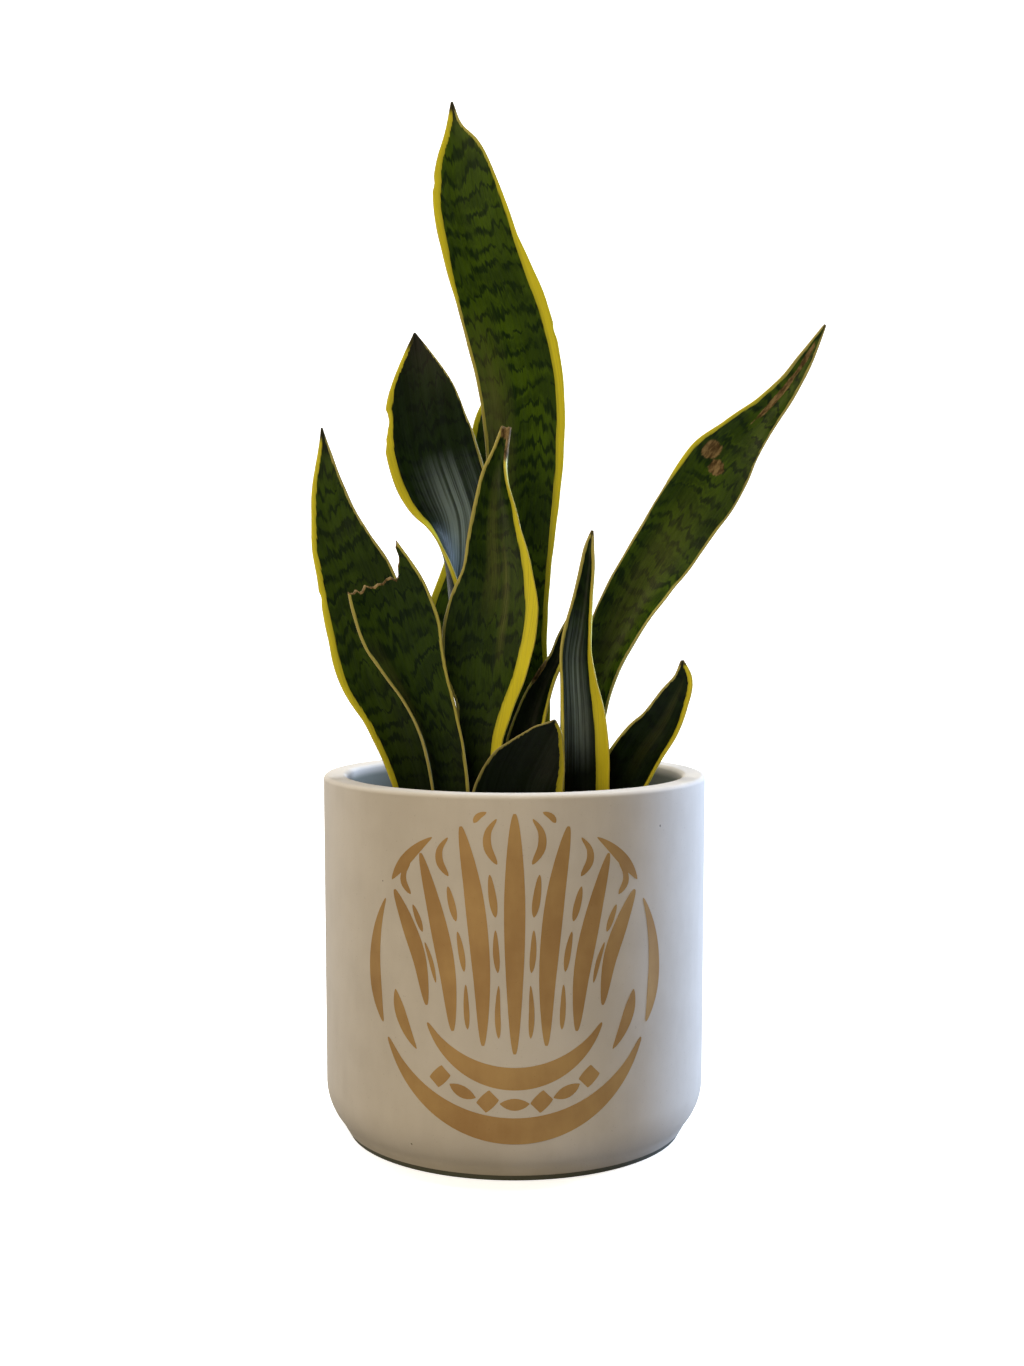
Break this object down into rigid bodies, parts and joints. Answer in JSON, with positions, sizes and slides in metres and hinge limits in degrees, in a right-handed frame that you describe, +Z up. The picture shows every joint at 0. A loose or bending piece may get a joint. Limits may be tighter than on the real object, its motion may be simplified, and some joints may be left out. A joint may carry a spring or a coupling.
{
  "type": "potted snake plant",
  "caption": "Variegated snake plant with upright sword-shaped leaves, rooted in potting mix in a round cast concrete pot with a rounded heel.",
  "frame": {"origin": "middle of the pot's underside, on the surface it stands on", "axes": "+Z up, -Y towards the front, the side that carries the roundel; +X to the right seen from the front"},
  "size_m": [0.216, 0.16, 0.4291],
  "materials": {
    "concrete": "cast concrete, matt, with small pinholes and sand grains",
    "gold_paint": "matt gold paint, brushed on in thin strokes",
    "potting_mix": "dark crumbly potting mix with bark and a little perlite",
    "leaf": "waxy mid-green leaf with dark cross bands and yellow margins",
    "leaf_dark": "waxy dark green shaded leaf with yellow margins"
  },
  "bodies": {
    "root": {"pot": "concrete", "potting_mix": "potting_mix", "leaf_tall": "leaf", "leaf_left_centre": "leaf", "leaf_left": "leaf", "leaf_left_torn": "leaf", "leaf_centre": "leaf", "leaf_back": "leaf", "leaf_right": "leaf", "leaf_narrow": "leaf_dark", "leaf_small_right": "leaf_dark", "leaf_dark_back": "leaf_dark", "leaf_front_short": "leaf_dark"}
  },
  "joints": []
}
